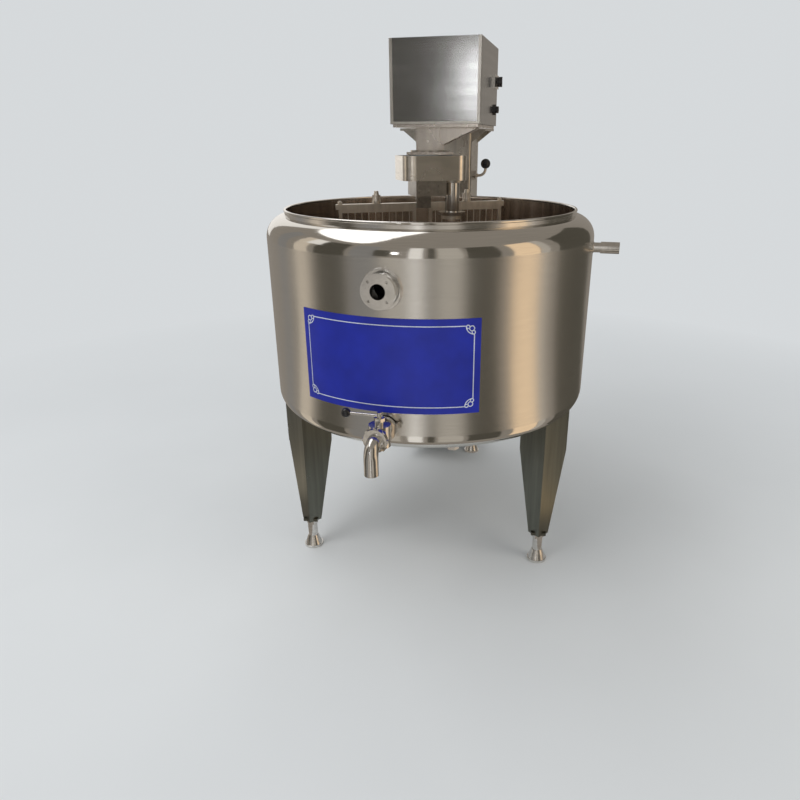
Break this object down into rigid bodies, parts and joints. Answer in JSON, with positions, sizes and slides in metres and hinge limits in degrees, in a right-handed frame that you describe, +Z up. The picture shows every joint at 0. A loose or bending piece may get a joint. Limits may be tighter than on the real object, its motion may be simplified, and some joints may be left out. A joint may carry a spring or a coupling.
{
  "type": "cheese vat",
  "caption": "Round jacketed cheese vat on legs with a rear column, a planetary head with cutting harps and a paddle, a front outlet valve and a blank nameplate.",
  "frame": {"origin": "floor level under the middle of the overall box", "axes": "+Z up, -Y to the front with the outlet and the nameplate, +X to the right seen from the front"},
  "size_m": [1.0748, 1.339, 1.561],
  "materials": {
    "mirror_steel": "mirror polished",
    "satin_steel": "satin",
    "leg_steel": "satin",
    "cast_grey": "painted",
    "black_plastic": "gloss",
    "black_rubber": "matt",
    "blue_enamel": "gloss"
  },
  "bodies": {
    "frame": {"liner": "mirror_steel", "head_cover": "mirror_steel", "head_front": "mirror_steel", "head_rear": "mirror_steel", "neck": "mirror_steel", "neck_gussets": "mirror_steel", "jacket_shell": "satin_steel", "port_flange": "satin_steel", "side_nozzle": "satin_steel", "nozzle_socket": "satin_steel", "drain_stub": "satin_steel", "drain_cap": "satin_steel", "outlet_stub": "satin_steel", "outlet_clamp": "satin_steel", "valve_body": "satin_steel", "gland_nut": "satin_steel", "union_ring": "satin_steel", "spout": "satin_steel", "column": "satin_steel", "column_ties": "satin_steel", "saddle": "satin_steel", "arm": "satin_steel", "panel_screws": "satin_steel", "neck_bolts": "satin_steel", "switch_plate": "satin_steel", "lock_boss": "satin_steel", "leg_left": "leg_steel", "leg_right": "leg_steel", "column_base": "leg_steel", "head_base": "leg_steel", "motor": "cast_grey", "gearbox": "cast_grey", "bearing_housing": "cast_grey", "sun_gear": "cast_grey", "cable_gland": "black_plastic", "outlet_gasket": "black_rubber", "nameplate": "blue_enamel"},
    "rotor": {"main_shaft": "satin_steel", "carrier_plate": "satin_steel", "gear_guard": "satin_steel", "hub_block": "leg_steel", "beam_hanger": "satin_steel", "harp_beam": "satin_steel", "harp_frames": "satin_steel", "harp_wires": "satin_steel"},
    "planet": {"planet_shaft": "satin_steel", "planet_gear": "cast_grey", "paddle": "satin_steel"},
    "knob_left": {"harp_knob_left": "satin_steel"},
    "knob_right": {"harp_knob_right": "satin_steel"},
    "valve": {"valve_plug": "satin_steel", "valve_lever": "satin_steel", "lever_ball": "black_plastic"},
    "lock": {"lock_lever": "satin_steel", "lock_ball": "black_plastic"},
    "switch": {"switch_knob": "black_plastic"},
    "foot_left": {"foot_left": "satin_steel"},
    "foot_right": {"foot_right": "satin_steel"},
    "foot_rear_left": {"foot_rear_left": "satin_steel"},
    "foot_rear_right": {"foot_rear_right": "satin_steel"}
  },
  "joints": [
    {"name": "rotor_spin", "type": "hinge", "parent": "frame", "child": "rotor", "pos_m": [-0.0375, -0.02548, 1.22], "axis": [0, 0, 1], "continuous": true},
    {"name": "planet_spin", "type": "hinge", "parent": "rotor", "child": "planet", "pos_m": [0.02312, 0.00952, 1.18], "axis": [0, 0, 1], "continuous": true},
    {"name": "knob_left_turn", "type": "hinge", "parent": "rotor", "child": "knob_left", "pos_m": [-0.2149, -0.0182, 1.113], "axis": [0, 0, 1], "range_deg": [0, 360]},
    {"name": "knob_right_turn", "type": "hinge", "parent": "rotor", "child": "knob_right", "pos_m": [0.0449, 0.1318, 1.113], "axis": [0, 0, 1], "range_deg": [0, 360]},
    {"name": "valve_turn", "type": "hinge", "parent": "frame", "child": "valve", "pos_m": [-0.0375, -0.57548, 0.578], "axis": [0, 0, 1], "range_deg": [0, 90]},
    {"name": "lock_turn", "type": "hinge", "parent": "frame", "child": "lock", "pos_m": [-0.00951, 0.52948, 1.176], "axis": [1, 0, 0], "range_deg": [0, 90]},
    {"name": "switch_turn", "type": "hinge", "parent": "frame", "child": "switch", "pos_m": [0.1235, 0.15252, 1.465], "axis": [1, 0, 0], "range_deg": [0, 90]},
    {"name": "foot_left_turn", "type": "hinge", "parent": "frame", "child": "foot_left", "pos_m": [-0.38658, -0.29333, 0.11], "axis": [0, 0, 1], "continuous": true},
    {"name": "foot_right_turn", "type": "hinge", "parent": "frame", "child": "foot_right", "pos_m": [0.36901, -0.19386, 0.11], "axis": [0, 0, 1], "continuous": true},
    {"name": "foot_rear_left_turn", "type": "hinge", "parent": "frame", "child": "foot_rear_left", "pos_m": [-0.23651, 0.55948, 0.11], "axis": [0, 0, 1], "continuous": true},
    {"name": "foot_rear_right_turn", "type": "hinge", "parent": "frame", "child": "foot_rear_right", "pos_m": [0.00749, 0.55948, 0.11], "axis": [0, 0, 1], "continuous": true}
  ],
  "couplings": [
    {"joint": "planet_spin", "follows": "rotor_spin", "ratio": 2.5}
  ]
}
